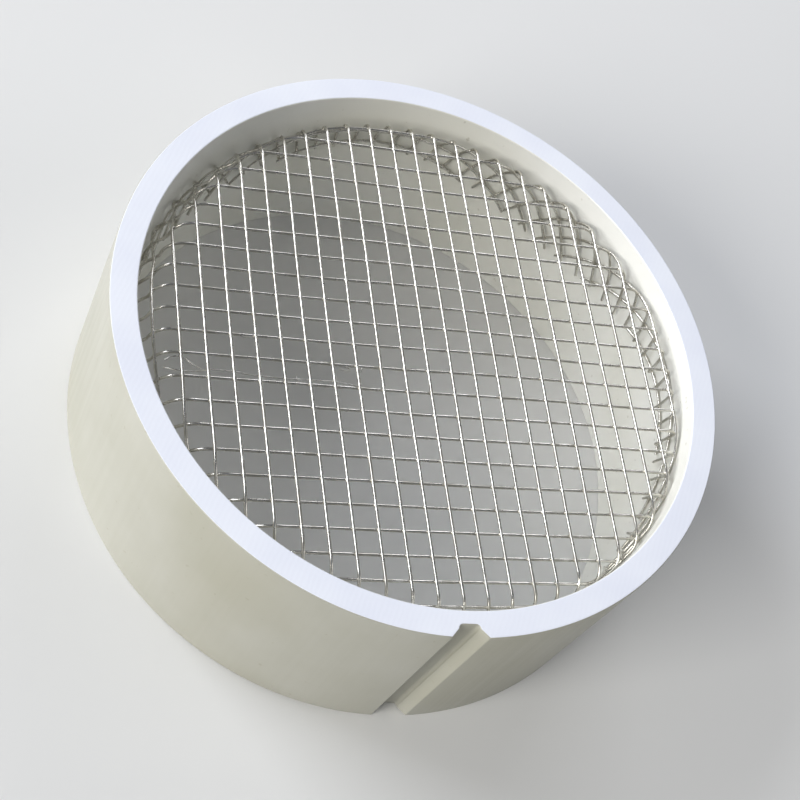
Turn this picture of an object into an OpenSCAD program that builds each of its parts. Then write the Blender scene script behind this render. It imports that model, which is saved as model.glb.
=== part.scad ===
// Pipe vent screen: a short length of rigid PVC pipe that plugs into a socket,
// with a round piece of welded wire mesh pushed into its bore. The rim of the
// mesh is folded back along the bore, away from the open front face.
//
// Frame: the ring stands on its back face at Z = 0, its axis is Z, and the
// front face, with the screen just below it, is at the top. The locating
// groove in the outer wall is on the -Y side.

/* [Pipe ring] */
// Outside diameter of the pipe
ring_od = 168.3; // [150:0.1:190]
// Wall thickness of the pipe
ring_wall = 7.1; // [6:0.1:10]
// Height of the ring, back face to front face
ring_h = 57.2; // [45:0.1:80]
// Chamfer that breaks the four sawn edges
edge_break = 0.4; // [0.1:0.1:1]

/* [Locating groove] */
// Width of the groove at the pipe's outer surface
groove_mouth = 9.6; // [8:0.1:14]
// Width of the groove's flat floor, between its fillets
groove_floor = 3.2; // [2:0.1:4.5]
// Depth of the groove below the outer surface
groove_depth = 3.5; // [2:0.1:4.5]
// Radius where the groove's floor meets its sides
groove_fillet = 1.1; // [0.6:0.1:1.5]

/* [Wire mesh] */
// Distance between the centres of neighbouring wires
mesh_pitch = 6.57; // [6:0.01:8]
// Diameter of the wire
wire_d = 0.8; // [0.6:0.05:1]
// How far two crossing wires are sunk into each other at their weld
weld_sink = 0.16; // [0.1:0.01:0.2]
// Turn of the mesh in the ring, counted from the groove
mesh_turn = 1.3; // [-10:0.1:10]
// How far the middle one of the upper wires lies from the ring's axis
upper_wire_offset = -0.14; // [-3:0.01:3]
// How far the middle one of the lower wires lies from the ring's axis
lower_wire_offset = -1.89; // [-3:0.01:3]

/* [Folded rim] */
// Depth of the screen's middle plane below the front face
screen_recess = 5.05; // [3:0.05:15]
// Radius of the fold between the flat screen and its rim
fold_r = 3.4; // [2.5:0.1:5]
// Clearance between the rim's outermost wires and the bore
seat_gap = 0.02; // [0.01:0.01:0.3]
// How much smaller than the bore the fold is, on the radius
fold_play = 1.9; // [0.5:0.1:2.5]
// Direction in which the folded screen is pushed against the bore
push_dir = -36; // [-180:1:180]
// Length of the rim below the fold, where it is shortest
rim_drop = 8.35; // [6:0.05:14]
// Squareness of the blank: 2 is a circle, higher is squarer
blank_squareness = 2.65; // [2:0.05:3]

/* [Hidden] */

ring_r = ring_od / 2;
bore_r = ring_r - ring_wall;

// a square wire has the round wire's area when its half diagonal is this
wire_h = sqrt(PI / 8) * wire_d;
// the upper wires lie this far above the screen's middle plane, the lower ones below it
layer = (wire_d - weld_sink) / 2;

// middle surface of the rim where its outermost wires rest on the bore
seat_r = bore_r - seat_gap - wire_h - layer;
screen_z = ring_h - screen_recess;
fold_arc = fold_r * PI / 2;
// half width of the flat blank, measured along its wires
blank_half = seat_r - fold_r + fold_arc + rim_drop;
// length of rim over which it springs back out to the bore, below the fold
spring_len = 2 * fold_r;
// a wire bends where the fold starts, and again at this share of the fold's arc
second_bend = 0.62;
// a wire that runs round the rim has a bend at least this often, in degrees
turn_step = 10;

// The screen is worked out in its own frame: the upper wires run along Y, the
// lower ones along X, and Z = 0 is the middle plane between the two layers.

// middle surface of the rim right below the fold, in direction a
function rim_r(a) = seat_r - fold_play * (1 - cos(a + mesh_turn - push_dir));

// distance from the axis at which the fold starts, in direction a
function flat_r(a) = rim_r(a) - fold_r;

// turn of the surface, distance from the axis and height, s past the start of the fold
function fold_angle(s) = s <= 0 ? 0 : min(90, s / fold_arc * 90);
function fold_radius(s, a) =
    s <= 0 ? flat_r(a) + s
    : s < fold_arc ? flat_r(a) + fold_r * sin(fold_angle(s))
    : rim_r(a) + (seat_r - rim_r(a)) * sin(90 * min(1, (s - fold_arc) / spring_len));
function fold_height(s) =
    s <= 0 ? 0
    : s < fold_arc ? -fold_r * (1 - cos(fold_angle(s)))
    : -fold_r - (s - fold_arc);

// where a point of the flat blank ends up, lifted off the middle surface by lift
function folded(x, y, lift) =
    let (
        a = atan2(y, x),
        s = norm([x, y]) - flat_r(a),
        turn = fold_angle(s),
        r = fold_radius(s, a) + lift * sin(turn)
    )
    [r * cos(a), r * sin(a), fold_height(s) + lift * cos(turn)];

// outward normal of the folded surface at a point of the flat blank
function surface_normal(x, y) =
    let (
        a = atan2(y, x),
        turn = fold_angle(norm([x, y]) - flat_r(a))
    )
    [sin(turn) * cos(a), sin(turn) * sin(a), cos(turn)];

// how far a wire that passes the blank's middle at distance d reaches each way
function wire_reach(d) =
    pow(pow(blank_half, blank_squareness) - pow(abs(d), blank_squareness), 1 / blank_squareness);

// blank point at t along a wire, for an upper wire and for a lower one
function blank_point(upper, d, t) = upper ? [d, t] : [t, d];

// how far past the start of the fold a wire is, at t along it
function past_fold(upper, d, t) =
    let (p = blank_point(upper, d, t))
    norm(p) - flat_r(atan2(p.y, p.x));

// place along a wire, between lo and hi, where it is s past the start of the fold
function fold_crossing(upper, d, s, lo, hi, steps = 24) =
    let (mid = (lo + hi) / 2)
    steps == 0 ? mid
    : past_fold(upper, d, mid) < s ? fold_crossing(upper, d, s, mid, hi, steps - 1)
    : fold_crossing(upper, d, s, lo, mid, steps - 1);

// offsets of all the wires of one layer that the blank holds
function wire_offsets(middle) =
    [for (k = [-ceil(blank_half / mesh_pitch) : ceil(blank_half / mesh_pitch)])
        if (abs(middle + k * mesh_pitch) < blank_half - mesh_pitch / 8)
            middle + k * mesh_pitch];

upper_wires = wire_offsets(upper_wire_offset);
lower_wires = wire_offsets(lower_wire_offset);

// how far round the axis a wire has gone at t, counted from its middle
function turn_at(d, t) = atan2(t, abs(d));

// true where a wire runs on the rim all the way, and never over the flat screen
function on_rim(upper, d) = past_fold(upper, d, 0) > -wire_d;

// Stations of a wire, from one cut end to the other. Each is [t, facing]: the
// place along the wire, and the place whose surface the wire's section faces.
function rim_stations(d) =
    let (reach = wire_reach(d), n = ceil(2 * turn_at(d, reach) / turn_step))
    [for (k = [0 : n]) let (t = reach * (2 * k / n - 1)) [t, t]];

// one side of a wire that crosses the flat screen: the fold, then the leg below it
function leg_stations(upper, d, side) =
    let (
        reach = wire_reach(d),
        fold_start = fold_crossing(upper, d, 0, 0, side * reach),
        leg_start = fold_crossing(upper, d, second_bend * fold_arc, 0, side * reach),
        leg = side * reach - leg_start,
        n = ceil((turn_at(d, reach) - turn_at(d, abs(leg_start))) / turn_step)
    )
    concat(
        [[fold_start, 0]],
        [for (k = [0 : n]) [leg_start + leg * k / n, leg_start + leg / 2]]
    );

function reversed(v) = [for (k = [len(v) - 1 : -1 : 0]) v[k]];

function stations(upper, d) =
    on_rim(upper, d) ? rim_stations(d)
    : concat(reversed(leg_stations(upper, d, -1)), leg_stations(upper, d, 1));

// Points are rounded to a thousandth of a millimetre. Both ends of a straight
// leg then have the same section, and its faces are flat.
function rounded(v) = [for (c = v) round(c * 1000) / 1000];

// four corners of the wire's section at a station
function section(upper, d, station) =
    let (
        lift = upper ? layer : -layer,
        at = blank_point(upper, d, station[0]),
        face = blank_point(upper, d, station[1]),
        ahead = blank_point(upper, d, station[1] + wire_d / 8),
        behind = blank_point(upper, d, station[1] - wire_d / 8),
        along = folded(ahead.x, ahead.y, lift) - folded(behind.x, behind.y, lift),
        n = surface_normal(face.x, face.y),
        side = cross(n, along / norm(along)),
        centre = rounded(folded(at.x, at.y, lift))
    )
    [for (k = [0 : 3]) centre + rounded(wire_h * (cos(90 * k) * n + sin(90 * k) * side))];

module pvc_ring() {
    color("whitesmoke")
    difference() {
        rotate_extrude($fn = 180)
            polygon([
                [bore_r + edge_break, 0],
                [ring_r - edge_break, 0],
                [ring_r, edge_break],
                [ring_r, ring_h - edge_break],
                [ring_r - edge_break, ring_h],
                [bore_r + edge_break, ring_h],
                [bore_r, ring_h - edge_break],
                [bore_r, edge_break]
            ]);
        translate([0, -ring_r, -1])
            linear_extrude(ring_h + 2)
                groove_section();
    }
}

// section of the groove's cutter: a trapezoid with its two floor corners rounded
module groove_section() {
    floor_half = groove_floor / 2;
    floor_y = groove_depth;
    // the cutter's sides run on past the pipe's surface by as much as they are deep
    slope = (groove_mouth / 2 - floor_half - groove_fillet) / groove_depth;
    polygon([
        [-groove_mouth / 2 - slope * groove_depth, -groove_depth],
        [groove_mouth / 2 + slope * groove_depth, -groove_depth],
        [floor_half + groove_fillet, floor_y - groove_fillet],
        [floor_half, floor_y],
        [-floor_half, floor_y],
        [-floor_half - groove_fillet, floor_y - groove_fillet]
    ]);
    for (side = [-1, 1])
        translate([side * floor_half, floor_y - groove_fillet])
            circle(r = groove_fillet, $fn = 32);
}

// one wire of the mesh: its sections from one cut end to the other, joined up
module wire(upper, d) {
    sections = [for (station = stations(upper, d)) section(upper, d, station)];
    last = 4 * (len(sections) - 1);
    polyhedron(
        points = [for (corners = sections) each corners],
        faces = concat(
            [[3, 2, 1, 0]],
            [for (k = [0 : 4 : last - 4], c = [0 : 3])
                [k + c, k + (c + 1) % 4, k + 4 + (c + 1) % 4, k + 4 + c]],
            [[last, last + 1, last + 2, last + 3]]
        )
    );
}

module wire_screen() {
    color("silver")
    translate([0, 0, screen_z])
        rotate([0, 0, mesh_turn]) {
            for (d = upper_wires) wire(true, d);
            for (d = lower_wires) wire(false, d);
        }
}

pvc_ring();
wire_screen();
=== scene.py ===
"""Pipe vent screen: a short ring of rigid PVC pipe with welded wire mesh folded back into its bore."""

import math
import random

import bmesh
import bpy
from mathutils import Matrix, Quaternion, Vector


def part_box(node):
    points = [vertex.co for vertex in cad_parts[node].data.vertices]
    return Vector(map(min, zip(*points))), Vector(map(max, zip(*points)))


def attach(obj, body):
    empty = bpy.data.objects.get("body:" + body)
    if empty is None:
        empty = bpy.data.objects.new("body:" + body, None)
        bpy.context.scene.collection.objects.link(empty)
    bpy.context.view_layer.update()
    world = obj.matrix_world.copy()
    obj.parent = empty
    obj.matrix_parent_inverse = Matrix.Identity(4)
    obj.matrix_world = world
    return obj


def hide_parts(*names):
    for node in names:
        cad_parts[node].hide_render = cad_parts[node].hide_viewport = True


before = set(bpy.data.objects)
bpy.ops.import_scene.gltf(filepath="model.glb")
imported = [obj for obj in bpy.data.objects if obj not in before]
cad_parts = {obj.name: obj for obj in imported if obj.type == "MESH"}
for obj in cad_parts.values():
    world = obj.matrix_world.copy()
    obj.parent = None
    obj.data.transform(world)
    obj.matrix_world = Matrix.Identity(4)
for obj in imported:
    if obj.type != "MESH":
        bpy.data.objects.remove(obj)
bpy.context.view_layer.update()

MM = 0.001

# Pipe ring
ring_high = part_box("pvc_ring")[1]
RING_R = ring_high.x
RING_H = ring_high.z
RING_WALL = 7.1 * MM
BORE_R = RING_R - RING_WALL
EDGE_BREAK = 0.4 * MM

# Locating groove in the outer wall, on the -Y side
GROOVE_MOUTH = 9.6 * MM
GROOVE_FLOOR = 3.2 * MM
GROOVE_DEPTH = 3.5 * MM
GROOVE_FILLET = 1.1 * MM
LIP_BREAK = 0.25 * MM

# How finely the ring is cut up. A face belongs to a sawn end if it faces along the pipe by this share, and an
# edge is one of the groove's lips if it is at least this sharp.
RING_STEPS = 256
FILLET_STEPS = 6
EDGE_STEPS = 3
LIP_STEPS = 2
END_FACING = 0.9
LIP_SHARPNESS = math.radians(40)

# Wire mesh, laid out in its own frame: upper wires along Y, lower wires along X. A pad of melted steel joins
# them at each crossing.
PITCH = 6.57 * MM
WIRE_D = 0.8 * MM
WELD_SINK = 0.16 * MM
WELD_WIDTH = 1.12 * MM
WELD_HEIGHT = 0.84 * MM
MESH_TURN = math.radians(1.3)
UPPER_OFFSET = -0.14 * MM
LOWER_OFFSET = -1.89 * MM
LAYER = (WIRE_D - WELD_SINK) / 2
CUT_SHARPNESS = math.radians(60)

# Folded rim. Its fold is smaller than the bore by the play, so the screen is pushed to one side, and where it
# is pulled off the bore the fold is softer. Below the fold the rim springs back out to the bore.
SCREEN_RECESS = 5.05 * MM
SCREEN_Z = RING_H - SCREEN_RECESS
FOLD_R = 3.4 * MM
FOLD_PLAY = 1.9 * MM
SOFT_FOLD = 2.4 * MM
PUSH_DIRECTION = math.radians(-36)
SOFTEST_DIRECTION = PUSH_DIRECTION + math.pi + 0.6
RIM_DROP = 8.35 * MM
SPRING = 2 * FOLD_R
SEAT_GAP = 0.12 * MM
SEAT_R = BORE_R - SEAT_GAP - WIRE_D / 2 - LAYER

# Flat blank that the screen is folded from. A squareness of 2 is a circle, and higher is squarer. A wire that
# would lie nearer to the blank's edge than the margin is left out.
BLANK_HALF = SEAT_R - FOLD_R + FOLD_R * math.pi / 2 + RIM_DROP
BLANK_SQUARENESS = 2.65
BLANK_MARGIN = PITCH / 8

# Steps along a wire: over the flat, up to this distance from the rim, then over the fold and down the rim
FLAT_STEP = PITCH / 2
FLAT_MARGIN = 2 * PITCH
FOLD_STEP = FOLD_R / 4
RIM_STEP = FOLD_R / 2.5

# How far the mesh is from perfect: lean of the rim's cut edge, rise and fall of the flat, wander of the
# wires from their straight lines, and how unevenly they are cut. Waves are given by their length over 2 pi.
LEAN = 1.1 * MM
LEAN_REACH = 15 * MM
RIPPLE = 0.18 * MM
RIPPLE_X = 19 * MM
RIPPLE_Y = 23 * MM
RIPPLE_SLANT = 11 * MM
RIPPLE_FADE = 12 * MM
DRIFT = 0.10 * MM
UPPER_DRIFT_ALONG = 17 * MM
UPPER_DRIFT_ACROSS = 31 * MM
LOWER_DRIFT_ALONG = 15 * MM
LOWER_DRIFT_ACROSS = 27 * MM
CUT_LONG = 0.2 * MM
CUT_SHORT = 0.6 * MM

# Finish of the PVC: patches of dust and of age, distance between specks, lines that the die leaves along the
# pipe, and the slight orange peel between them. The die's lines are drawn a little coarser than real.
PVC_IOR = 1.53
PVC_ROUGHNESS = (0.36, 0.46)
DUST_PATCH = 30 * MM
AGED_PATCH = 70 * MM
SPECK_SPACING = 2.2 * MM
DIE_LINE = 1.6 * MM
DIE_LINE_LENGTH = 80 * MM
DIE_LINE_DEPTH = 0.05 * MM
DIE_LINE_STRENGTH = 0.12
ORANGE_PEEL = 0.9 * MM

# Finish of the sawn ends: the saw's marks run across the whole ring in one direction. A wave texture of
# scale 1 repeats every 0.314 m.
SAWN_ROUGHNESS = 0.6
SAWN_PATCH = 18 * MM
SAW_DIRECTION = math.radians(25)
SAW_MARK = 1.3 * MM
SAW_MARK_DEPTH = 0.04 * MM
SAW_MARK_STRENGTH = 0.18
SAW_FUZZ = 0.5 * MM
WAVE_PERIOD = 0.314

# Finish of the wire and of the board it stands on
WIRE_ROUGHNESS = (0.20, 0.32)
DULL_PATCH = 4 * MM
DRAWN_GRAIN = 0.4 * MM
DRAWN_GRAIN_DEPTH = 0.03 * MM
DRAWN_GRAIN_STRENGTH = 0.15
BOARD_ROUGHNESS = 0.85
BOARD_PATCH = 120 * MM

# Sockets of a Mix node set to colour: its share, its two colours and its result
SHARE = 0
FIRST = 6
SECOND = 7
MIXED = 2

# Studio: the lights face the ring from this far away, the floor runs out of sight, and the room is dim
LIGHT_DISTANCE = 4.0
FLOOR_HALF = 20.0
ROOM_LIGHT = 0.18

# Camera, placed and aimed in millimetres
LENS = 69.5
SENSOR = 36
CAMERA_PLACE = (-149.5, -206.4, 369.3)
CAMERA_AIM = (1.6, -4.1, 28.6)
CAMERA_ROLL = math.radians(36.1)
NEAREST = 10 * MM

# A thin loose strand and a few whiskers lie in the mesh, just under its upper wires. Places are in the
# mesh's own frame, in millimetres, and each stretch between two of them is drawn in this many steps.
STRAND_D = 0.28 * MM
STRAND_LIFT = LAYER - WIRE_D / 2 - STRAND_D / 2
STRAND_STEPS = 6
STRAND = (
    (-70.5, -12.4), (-68.0, -13.4), (-65.2, -13.9), (-61.2, -13.5), (-58.6, -12.8),
    (-52.3, -12.9), (-49.6, -13.4), (-46.1, -13.7), (-39.5, -13.8), (-33.0, -13.7),
    (-27.4, -13.6), (-23.0, -14.0), (-19.6, -14.7), (-17.8, -15.0),
)
WHISKERS = (
    ((-70.1, -10.5), (-67.4, -9.8), (-65.2, -10.0), (-63.4, -11.4), (-61.4, -12.7), (-60.4, -13.2)),
    ((-36.5, -12.9), (-36.3, -13.7), (-35.9, -14.8)),
    ((-50.4, -2.1), (-48.6, -2.6), (-46.4, -2.1)),
    ((-30.8, -8.3), (-28.9, -8.0), (-26.6, -8.2)),
    ((-26.1, -8.2), (-24.0, -8.5), (-21.6, -9.6)),
    ((-24.7, -9.7), (-23.2, -10.1), (-21.6, -10.0)),
    ((-20.0, -8.4), (-18.9, -8.4), (-18.5, -9.2), (-18.9, -10.3)),
    ((-13.7, -8.9), (-12.8, -9.4), (-12.6, -10.5)),
)


def linear(colour):
    """Turns an sRGB hex colour, such as "E6E3D2", to linear red, green, blue and alpha."""
    shares = [int(colour[k : k + 2], 16) / 255 for k in (0, 2, 4)]
    return (*(s / 12.92 if s <= 0.04045 else ((s + 0.055) / 1.055) ** 2.4 for s in shares), 1.0)


def add(tree, kind, inputs=None, **settings):
    """Adds a node. Settings are its own properties; inputs are its sockets, each with a value or a link."""
    made = tree.nodes.new(kind)
    for name, value in settings.items():
        setattr(made, name, value)
    for name, value in (inputs or {}).items():
        if isinstance(value, bpy.types.NodeSocket):
            tree.links.new(value, made.inputs[name])
        else:
            made.inputs[name].default_value = value
    return made


def new_material(name):
    """A material with an empty node tree, its Object coordinates and its output."""
    material = bpy.data.materials.new(name)
    material.use_nodes = True
    tree = material.node_tree
    tree.nodes.clear()
    place = add(tree, "ShaderNodeTexCoord").outputs["Object"]
    output = add(tree, "ShaderNodeOutputMaterial")
    return material, tree, place, output


def extruded_pvc(name, clean, dusty, aged):
    """Extruded rigid PVC: off-white and satin from the die, with faint lines along it, dust and some age."""
    material, tree, place, output = new_material(name)
    dust = add(tree, "ShaderNodeTexNoise", {"Vector": place, "Scale": 1 / DUST_PATCH, "Detail": 3.0})
    dust = add(tree, "ShaderNodeMapRange", {"Value": dust.outputs["Fac"], "From Min": 0.35, "From Max": 0.65})
    colour = add(
        tree,
        "ShaderNodeMix",
        {SHARE: dust.outputs["Result"], FIRST: linear(clean), SECOND: linear(dusty)},
        data_type="RGBA",
    )
    age = add(tree, "ShaderNodeTexNoise", {"Vector": place, "Scale": 1 / AGED_PATCH, "Detail": 2.0})
    age = add(
        tree,
        "ShaderNodeMapRange",
        {"Value": age.outputs["Fac"], "From Min": 0.45, "From Max": 0.7, "To Max": 0.5},
    )
    colour = add(
        tree,
        "ShaderNodeMix",
        {SHARE: age.outputs["Result"], FIRST: colour.outputs[MIXED], SECOND: linear(aged)},
        data_type="RGBA",
    )
    specks = add(tree, "ShaderNodeTexNoise", {"Vector": place, "Scale": 1 / SPECK_SPACING, "Detail": 2.0})
    specks = add(
        tree,
        "ShaderNodeMapRange",
        {"Value": specks.outputs["Fac"], "From Min": 0.70, "From Max": 0.76, "To Max": 0.35},
    )
    colour = add(
        tree,
        "ShaderNodeMix",
        {SHARE: specks.outputs["Result"], FIRST: colour.outputs[MIXED], SECOND: linear("9A9480")},
        data_type="RGBA",
    )
    along = add(tree, "ShaderNodeMapping", {"Vector": place, "Scale": (1.0, 1.0, DIE_LINE / DIE_LINE_LENGTH)})
    lines = add(
        tree,
        "ShaderNodeTexNoise",
        {"Vector": along.outputs["Vector"], "Scale": 1 / DIE_LINE, "Detail": 2.0},
    )
    peel = add(tree, "ShaderNodeTexNoise", {"Vector": place, "Scale": 1 / ORANGE_PEEL, "Detail": 1.0})
    relief = add(
        tree,
        "ShaderNodeMath",
        {0: lines.outputs["Fac"], 1: peel.outputs["Fac"]},
        operation="ADD",
    )
    bump = add(
        tree,
        "ShaderNodeBump",
        {"Height": relief.outputs["Value"], "Strength": DIE_LINE_STRENGTH, "Distance": DIE_LINE_DEPTH},
    )
    gloss = add(
        tree,
        "ShaderNodeMapRange",
        {
            "Value": lines.outputs["Fac"],
            "From Min": 0.3,
            "From Max": 0.7,
            "To Min": PVC_ROUGHNESS[0],
            "To Max": PVC_ROUGHNESS[1],
        },
    )
    shader = add(
        tree,
        "ShaderNodeBsdfPrincipled",
        {
            "Base Color": colour.outputs[MIXED],
            "Roughness": gloss.outputs["Result"],
            "IOR": PVC_IOR,
            "Normal": bump.outputs["Normal"],
        },
    )
    tree.links.new(shader.outputs["BSDF"], output.inputs["Surface"])
    return material


def sawn_pvc():
    """Sawn rigid PVC, matt with faint saw marks; its colour is a paler, bluer lit copy of the walls': painted
    skylight.
    """
    material, tree, place, output = new_material("sawn_rigid_pvc_painted_skylight")
    cloud = add(tree, "ShaderNodeTexNoise", {"Vector": place, "Scale": 1 / SAWN_PATCH, "Detail": 3.0})
    cloud = add(
        tree,
        "ShaderNodeMapRange",
        {"Value": cloud.outputs["Fac"], "From Min": 0.35, "From Max": 0.65},
    )
    # Painted light: the cut ends are the walls' PVC, painted paler and bluer as if lit by skylight from
    # above.
    colour = add(
        tree,
        "ShaderNodeMix",
        {SHARE: cloud.outputs["Result"], FIRST: linear("ECEFF7"), SECOND: linear("E7EAF4")},
        data_type="RGBA",
    )
    turned = add(tree, "ShaderNodeMapping", {"Vector": place, "Rotation": (0, 0, SAW_DIRECTION)})
    marks = add(
        tree,
        "ShaderNodeTexWave",
        {
            "Vector": turned.outputs["Vector"],
            "Scale": WAVE_PERIOD / SAW_MARK,
            "Distortion": 2.5,
            "Detail": 2.0,
        },
    )
    fuzz = add(tree, "ShaderNodeTexNoise", {"Vector": place, "Scale": 1 / SAW_FUZZ, "Detail": 1.0})
    relief = add(
        tree,
        "ShaderNodeMath",
        {0: marks.outputs["Fac"], 1: fuzz.outputs["Fac"]},
        operation="ADD",
    )
    bump = add(
        tree,
        "ShaderNodeBump",
        {"Height": relief.outputs["Value"], "Strength": SAW_MARK_STRENGTH, "Distance": SAW_MARK_DEPTH},
    )
    shader = add(
        tree,
        "ShaderNodeBsdfPrincipled",
        {
            "Base Color": colour.outputs[MIXED],
            "Roughness": SAWN_ROUGHNESS,
            "IOR": PVC_IOR,
            "Normal": bump.outputs["Normal"],
        },
    )
    tree.links.new(shader.outputs["BSDF"], output.inputs["Surface"])
    return material


def drawn_steel_wire():
    """Drawn steel wire, bright: crisp lights along it, broken where the drawn skin has dulled in patches."""
    material, tree, place, output = new_material("drawn_steel_wire")
    dull = add(tree, "ShaderNodeTexNoise", {"Vector": place, "Scale": 1 / DULL_PATCH, "Detail": 3.0})
    dull = add(tree, "ShaderNodeMapRange", {"Value": dull.outputs["Fac"], "From Min": 0.35, "From Max": 0.65})
    colour = add(
        tree,
        "ShaderNodeMix",
        {SHARE: dull.outputs["Result"], FIRST: linear("E2E0DA"), SECOND: linear("BDBAB1")},
        data_type="RGBA",
    )
    gloss = add(
        tree,
        "ShaderNodeMapRange",
        {"Value": dull.outputs["Result"], "To Min": WIRE_ROUGHNESS[0], "To Max": WIRE_ROUGHNESS[1]},
    )
    grain = add(tree, "ShaderNodeTexNoise", {"Vector": place, "Scale": 1 / DRAWN_GRAIN, "Detail": 1.0})
    bump = add(
        tree,
        "ShaderNodeBump",
        {"Height": grain.outputs["Fac"], "Strength": DRAWN_GRAIN_STRENGTH, "Distance": DRAWN_GRAIN_DEPTH},
    )
    shader = add(
        tree,
        "ShaderNodeBsdfPrincipled",
        {
            "Base Color": colour.outputs[MIXED],
            "Metallic": 1.0,
            "Roughness": gloss.outputs["Result"],
            "Normal": bump.outputs["Normal"],
        },
    )
    tree.links.new(shader.outputs["BSDF"], output.inputs["Surface"])
    return material


def painted_board():
    """Painted board: pale, matt and plain, with the slightest drift in tone."""
    material, tree, place, output = new_material("painted_board")
    cloud = add(tree, "ShaderNodeTexNoise", {"Vector": place, "Scale": 1 / BOARD_PATCH, "Detail": 3.0})
    colour = add(
        tree,
        "ShaderNodeMix",
        {SHARE: cloud.outputs["Fac"], FIRST: linear("E4E4E3"), SECOND: linear("DFDFDE")},
        data_type="RGBA",
    )
    shader = add(
        tree,
        "ShaderNodeBsdfPrincipled",
        {"Base Color": colour.outputs[MIXED], "Roughness": BOARD_ROUGHNESS},
    )
    tree.links.new(shader.outputs["BSDF"], output.inputs["Surface"])
    return material


def new_piece(name, shape, *materials):
    """An object at the origin that holds the shape, smooth, with its materials."""
    mesh = bpy.data.meshes.new(name)
    shape.to_mesh(mesh)
    shape.free()
    for material in materials:
        mesh.materials.append(material)
    mesh.polygons.foreach_set("use_smooth", [True] * len(mesh.polygons))
    piece = bpy.data.objects.new(name, mesh)
    bpy.context.collection.objects.link(piece)
    return piece


def arc(shape, start, centre, angle, steps):
    """Spins a vertex round a vertical axis into an arc, and gives the vertex at its far end."""
    made = bmesh.ops.spin(
        shape, geom=[start], cent=centre, axis=(0, 0, 1), angle=angle, steps=steps, use_duplicate=False
    )
    return next(v for v in made["geom_last"] if isinstance(v, bmesh.types.BMVert))


def line(shape, start, place):
    """Joins a vertex to a new one at a place, and gives the new one."""
    end = shape.verts.new(place)
    shape.edges.new((start, end))
    return end


def pipe_outline(shape):
    """Outer outline of the pipe's section, round apart from the groove with its rounded floor corners."""
    lip = math.asin(GROOVE_MOUTH / 2 / RING_R)
    start = shape.verts.new((RING_R * math.sin(lip), -RING_R * math.cos(lip), 0))
    end = arc(shape, start, (0, 0, 0), 2 * (math.pi - lip), RING_STEPS)
    fillet_y = -RING_R + GROOVE_DEPTH - GROOVE_FILLET
    wide = GROOVE_FLOOR / 2 + GROOVE_FILLET
    end = line(shape, end, (-wide, fillet_y, 0))
    end = arc(shape, end, (-GROOVE_FLOOR / 2, fillet_y, 0), -math.pi / 2, FILLET_STEPS)
    end = line(shape, end, (GROOVE_FLOOR / 2, fillet_y + GROOVE_FILLET, 0))
    end = arc(shape, end, (GROOVE_FLOOR / 2, fillet_y, 0), -math.pi / 2, FILLET_STEPS)
    shape.edges.new((end, start))


def is_end(face):
    """Whether a face of the pipe belongs to one of its sawn ends."""
    return abs(face.normal.z) > END_FACING


def is_lip(edge):
    """Whether an edge of the pipe is one of the groove's lips, which run the whole height."""
    one, other = (v.co for v in edge.verts)
    upright = abs(one.z - other.z) > RING_H / 2
    return upright and edge.calc_face_angle(0) > LIP_SHARPNESS and one.xy.length > RING_R - LIP_BREAK


def pipe_ring():
    """The pipe: its section raised to the ring's height, with every edge broken."""
    shape = bmesh.new()
    pipe_outline(shape)
    bmesh.ops.create_circle(shape, cap_ends=False, segments=len(shape.verts), radius=BORE_R)
    bmesh.ops.bridge_loops(shape, edges=shape.edges[:])
    raised = bmesh.ops.extrude_face_region(shape, geom=shape.faces[:])
    top = [v for v in raised["geom"] if isinstance(v, bmesh.types.BMVert)]
    bmesh.ops.translate(shape, verts=top, vec=(0, 0, RING_H))
    bmesh.ops.recalc_face_normals(shape, faces=shape.faces[:])
    rims = [e for e in shape.edges if sum(is_end(f) for f in e.link_faces) == 1]
    bmesh.ops.bevel(
        shape, geom=rims, offset=EDGE_BREAK, segments=EDGE_STEPS, profile=0.5, affect="EDGES", material=-1
    )
    lips = [e for e in shape.edges if is_lip(e)]
    bmesh.ops.bevel(
        shape, geom=lips, offset=LIP_BREAK, segments=LIP_STEPS, profile=0.5, affect="EDGES", material=-1
    )
    for face in shape.faces:
        if is_end(face):
            face.material_index = 1
        elif face.calc_center_median().xy.length < BORE_R + EDGE_BREAK:
            face.material_index = 2
    # One PVC in shaded and lit copies: the outside is painted darker, painted shade, and the bore paler,
    # painted light.
    outside_painted_shade = extruded_pvc("extruded_rigid_pvc", "B6B5AB", "AFAEA2", "A8A592")
    bore = extruded_pvc("extruded_rigid_pvc_bore_painted_light", "EBEBE7", "E5E5DF", "DFDDD1")
    ring = new_piece("pipe_ring", shape, outside_painted_shade, sawn_pvc(), bore)
    weighted = ring.modifiers.new("flat_faces_stay_flat", "WEIGHTED_NORMAL")
    weighted.weight = 100
    return ring


def rim_radius(direction):
    """Middle surface of the rim right below the fold: the screen is pushed to one side of the bore."""
    return SEAT_R - FOLD_PLAY * (1 - math.cos(direction + MESH_TURN - PUSH_DIRECTION))


def fold_radius(direction):
    """Radius of the fold, which is softer where the screen is pulled off the bore."""
    return FOLD_R + SOFT_FOLD * max(0.0, math.cos(direction + MESH_TURN - SOFTEST_DIRECTION)) ** 2


def lean(direction, past):
    """How far the rim's cut edge leans in from the bore, unevenly round the ring."""
    uneven = 0.5 + 0.3 * math.sin(3 * direction + 0.6) + 0.2 * math.sin(7 * direction + 2.0)
    return LEAN * uneven * (past / LEAN_REACH) ** 2


def ripple(x, y):
    """Slight rise and fall of the flat mesh."""
    slow = math.sin(x / RIPPLE_X + 0.7) * math.cos(y / RIPPLE_Y)
    quick = math.sin((x + y) / RIPPLE_SLANT)
    return RIPPLE * (slow + 0.5 * quick)


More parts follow.
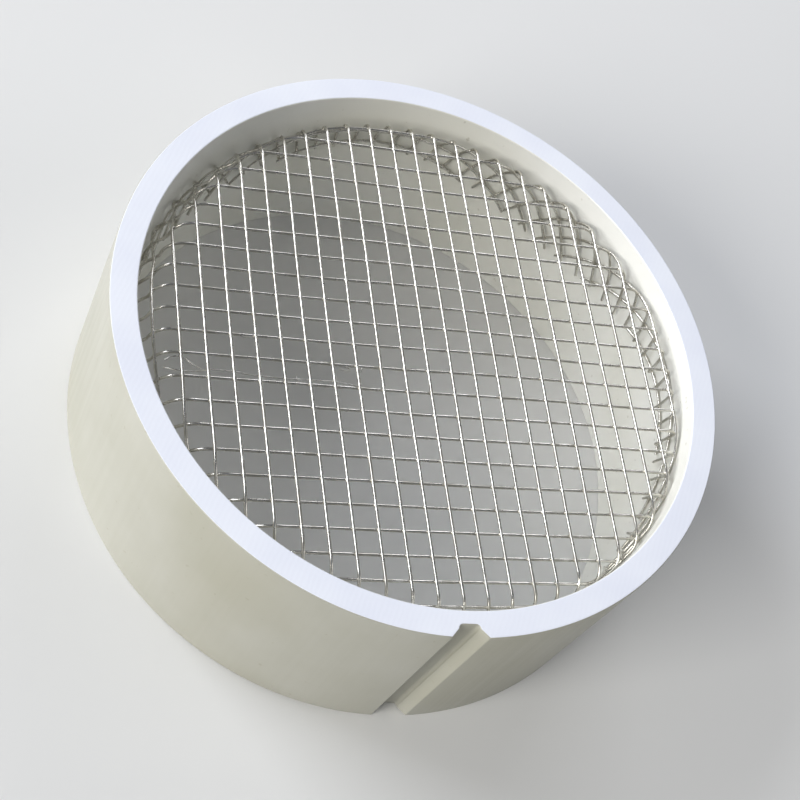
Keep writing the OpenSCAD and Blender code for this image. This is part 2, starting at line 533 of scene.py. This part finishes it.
def drift(x, y):
    """Slight wander of the wires from their straight lines."""
    return (
        DRIFT * math.sin(y / UPPER_DRIFT_ALONG + 1.9 * math.sin(x / UPPER_DRIFT_ACROSS)),
        DRIFT * math.sin(x / LOWER_DRIFT_ALONG + 1.7 * math.sin(y / LOWER_DRIFT_ACROSS)),
    )


def folded(x, y, lift=0.0):
    """Place on the folded screen of a point of the flat blank, and the surface's normal there."""
    across, up = drift(x, y)
    x, y = x + across, y + up
    direction = math.atan2(y, x)
    fold = fold_radius(direction)
    flat_radius = rim_radius(direction) - fold
    past = math.hypot(x, y) - flat_radius
    turn = min(max(past / fold, 0.0), math.pi / 2)
    if past <= 0:
        radius, height = flat_radius + past, ripple(x, y) * min(1.0, -past / RIPPLE_FADE)
    elif turn < math.pi / 2:
        radius, height = flat_radius + fold * math.sin(turn), -fold * (1 - math.cos(turn))
    else:
        down = past - fold * math.pi / 2
        sprung = math.sin(math.pi / 2 * min(1.0, down / SPRING))
        radius = rim_radius(direction) + (SEAT_R - rim_radius(direction)) * sprung - lean(direction, down)
        height = -fold - down
    outward = Vector((math.cos(direction), math.sin(direction), 0))
    normal = outward * math.sin(turn) + Vector((0, 0, math.cos(turn)))
    return outward * radius + Vector((0, 0, height)) + normal * lift, normal


def wire_offsets(middle):
    """Offsets of the wires of one layer that the blank holds."""
    most = math.ceil(BLANK_HALF / PITCH)
    offsets = [middle + k * PITCH for k in range(-most, most + 1)]
    return [d for d in offsets if abs(d) < BLANK_HALF - BLANK_MARGIN]


def wire_reach(offset):
    """How far a wire at an offset from the blank's middle reaches each way."""
    return (BLANK_HALF**BLANK_SQUARENESS - abs(offset) ** BLANK_SQUARENESS) ** (1 / BLANK_SQUARENESS)


def wire_course(upper, offset, low, high):
    """Places along a wire: a few over the flat, close together over the fold and down the rim."""
    course = []
    at = low
    while at < high:
        course.append(at)
        x, y = (offset, at) if upper else (at, offset)
        past = math.hypot(x, y) - rim_radius(math.atan2(y, x))
        at += FLAT_STEP if past < -FLAT_MARGIN else FOLD_STEP if past < FOLD_R else RIM_STEP
    course.append(high)
    lift = LAYER if upper else -LAYER
    return [folded(offset, t, lift)[0] if upper else folded(t, offset, lift)[0] for t in course]


def tubes(name, courses, radius):
    """A mesh of round wires along their courses, each closed at its cut ends."""
    curve = bpy.data.curves.new(name, "CURVE")
    curve.dimensions = "3D"
    curve.bevel_depth = radius
    curve.bevel_resolution = 2
    curve.use_fill_caps = True
    for course in courses:
        spline = curve.splines.new("POLY")
        spline.points.add(len(course) - 1)
        for point, place in zip(spline.points, course):
            point.co = (*place, 1)
    drawn = bpy.data.objects.new(name, curve)
    bpy.context.collection.objects.link(drawn)
    evaluated = drawn.evaluated_get(bpy.context.evaluated_depsgraph_get())
    mesh = bpy.data.meshes.new_from_object(evaluated)
    bpy.data.objects.remove(drawn)
    return mesh


def weld_pad():
    """A small round pad of melted steel, of the size that fills the corners where two wires are welded."""
    shape = bmesh.new()
    size = Matrix.Diagonal((WELD_WIDTH, WELD_WIDTH, WELD_HEIGHT, 1))
    bmesh.ops.create_uvsphere(shape, u_segments=8, v_segments=5, radius=0.5, matrix=size)
    pad = bpy.data.meshes.new("weld_pad")
    shape.to_mesh(pad)
    shape.free()
    return pad


def weld_place(x, y):
    """Where the weld of two wires sits on the folded screen, turned to face out of it."""
    place, normal = folded(x, y)
    turn = Vector((0, 0, 1)).rotation_difference(normal).to_matrix().to_4x4()
    return Matrix.Translation(place) @ turn


def set_in_ring():
    """Puts what is laid out in the mesh's own frame into the ring."""
    return Matrix.Translation((0, 0, SCREEN_Z)) @ Matrix.Rotation(MESH_TURN, 4, "Z")


def folded_screen(material):
    """The screen: upper and lower wires, welded where they cross, with the rim folded back along the bore."""
    chance = random.Random(6)
    courses = []
    for upper, middle in ((True, UPPER_OFFSET), (False, LOWER_OFFSET)):
        for offset in wire_offsets(middle):
            reach = wire_reach(offset)
            low = -reach + chance.uniform(-CUT_LONG, CUT_SHORT)
            high = reach - chance.uniform(-CUT_LONG, CUT_SHORT)
            courses.append(wire_course(upper, offset, low, high))
    shape = bmesh.new()
    shape.from_mesh(tubes("screen_wires", courses, WIRE_D / 2))
    pad = weld_pad()
    for x in wire_offsets(UPPER_OFFSET):
        for y in wire_offsets(LOWER_OFFSET):
            if abs(y) < wire_reach(x) - CUT_SHORT:
                place = weld_place(x, y)
                pad.transform(place)
                shape.from_mesh(pad)
                pad.transform(place.inverted())
    bmesh.ops.transform(shape, matrix=set_in_ring(), verts=shape.verts[:])
    screen = new_piece("folded_screen", shape, material)
    screen.data.set_sharp_from_angle(angle=CUT_SHARPNESS)
    return screen


def between(a, b, c, d, t):
    """The number at a share t of the way from b to c, on a smooth curve through all four."""
    bend = 2 * a - 5 * b + 4 * c - d
    twist = 3 * b - a - 3 * c + d
    return 0.5 * (2 * b + (c - a) * t + bend * t**2 + twist * t**3)


def smoothed(places):
    """The places with more between them, on a smooth curve through them all."""
    course = [places[0]]
    padded = (places[0], *places, places[-1])
    for near in zip(padded, padded[1:], padded[2:], padded[3:]):
        for k in range(1, STRAND_STEPS + 1):
            course.append(tuple(between(*numbers, k / STRAND_STEPS) for numbers in zip(*near)))
    return course


def stray_strand(material):
    """The loose strand and its whiskers, caught under the upper wires."""
    courses = []
    for places in (STRAND, *WHISKERS):
        courses.append([folded(x * MM, y * MM, STRAND_LIFT)[0] for x, y in smoothed(places)])
    shape = bmesh.new()
    shape.from_mesh(tubes("strand_wires", courses, STRAND_D / 2))
    bmesh.ops.transform(shape, matrix=set_in_ring(), verts=shape.verts[:])
    return new_piece("stray_strand", shape, material)


def soft_light(name, direction, height, power, size, colour):
    """A square soft light that faces the ring from a direction and a height, both in degrees."""
    lamp = bpy.data.lights.new(name, "AREA")
    lamp.size = size
    lamp.energy = power
    lamp.color = linear(colour)[:3]
    light = bpy.data.objects.new(name, lamp)
    aim = Vector((0, 0, RING_H / 2))
    level = math.cos(math.radians(height))
    away = Vector((
        level * math.cos(math.radians(direction)),
        level * math.sin(math.radians(direction)),
        math.sin(math.radians(height)),
    ))
    light.location = aim + LIGHT_DISTANCE * away
    light.rotation_mode = "QUATERNION"
    light.rotation_quaternion = away.to_track_quat("Z", "Y")
    bpy.context.collection.objects.link(light)


def studio():
    """Pale floor, strong soft lights at the camera's left, weak ones behind the ring and at its right."""
    shape = bmesh.new()
    bmesh.ops.create_grid(shape, x_segments=1, y_segments=1, size=FLOOR_HALF)
    floor = new_piece("floor", shape, painted_board())
    soft_light("side_light", direction=206, height=24, power=110, size=2.1, colour="FFFDF8")
    soft_light("back_light", direction=143, height=27, power=104, size=2.1, colour="F6F9FF")
    soft_light("rear_light", direction=66, height=28, power=34, size=2.1, colour="F8FAFF")
    soft_light("front_light", direction=345, height=35, power=25, size=2.6, colour="FFFEFA")
    world = bpy.data.worlds.new("dim_room")
    world.use_nodes = True
    background = world.node_tree.nodes["Background"]
    background.inputs["Color"].default_value = linear("F0F4FF")
    background.inputs["Strength"].default_value = ROOM_LIGHT
    bpy.context.scene.world = world
    bpy.context.scene.view_settings.view_transform = "Standard"
    bpy.context.scene.view_settings.look = "Medium High Contrast"


def photo_camera():
    """Camera above the groove's side of the ring, rolled so that the pipe's axis points up to the right."""
    lens = bpy.data.cameras.new("camera")
    lens.lens = LENS
    lens.sensor_width = SENSOR
    lens.clip_start = NEAREST
    camera = bpy.data.objects.new("camera", lens)
    camera.location = Vector(CAMERA_PLACE) * MM
    aim = Vector(CAMERA_AIM) * MM
    roll = Quaternion((0, 0, 1), CAMERA_ROLL)
    camera.rotation_mode = "QUATERNION"
    camera.rotation_quaternion = (aim - camera.location).to_track_quat("-Z", "Y") @ roll
    bpy.context.collection.objects.link(camera)
    bpy.context.scene.camera = camera


photo_camera()
studio()

ring = pipe_ring()
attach(ring, "root")
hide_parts("pvc_ring")

wire = drawn_steel_wire()
screen = folded_screen(wire)
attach(screen, "root")
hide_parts("wire_screen")

strand = stray_strand(wire)
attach(strand, "root")
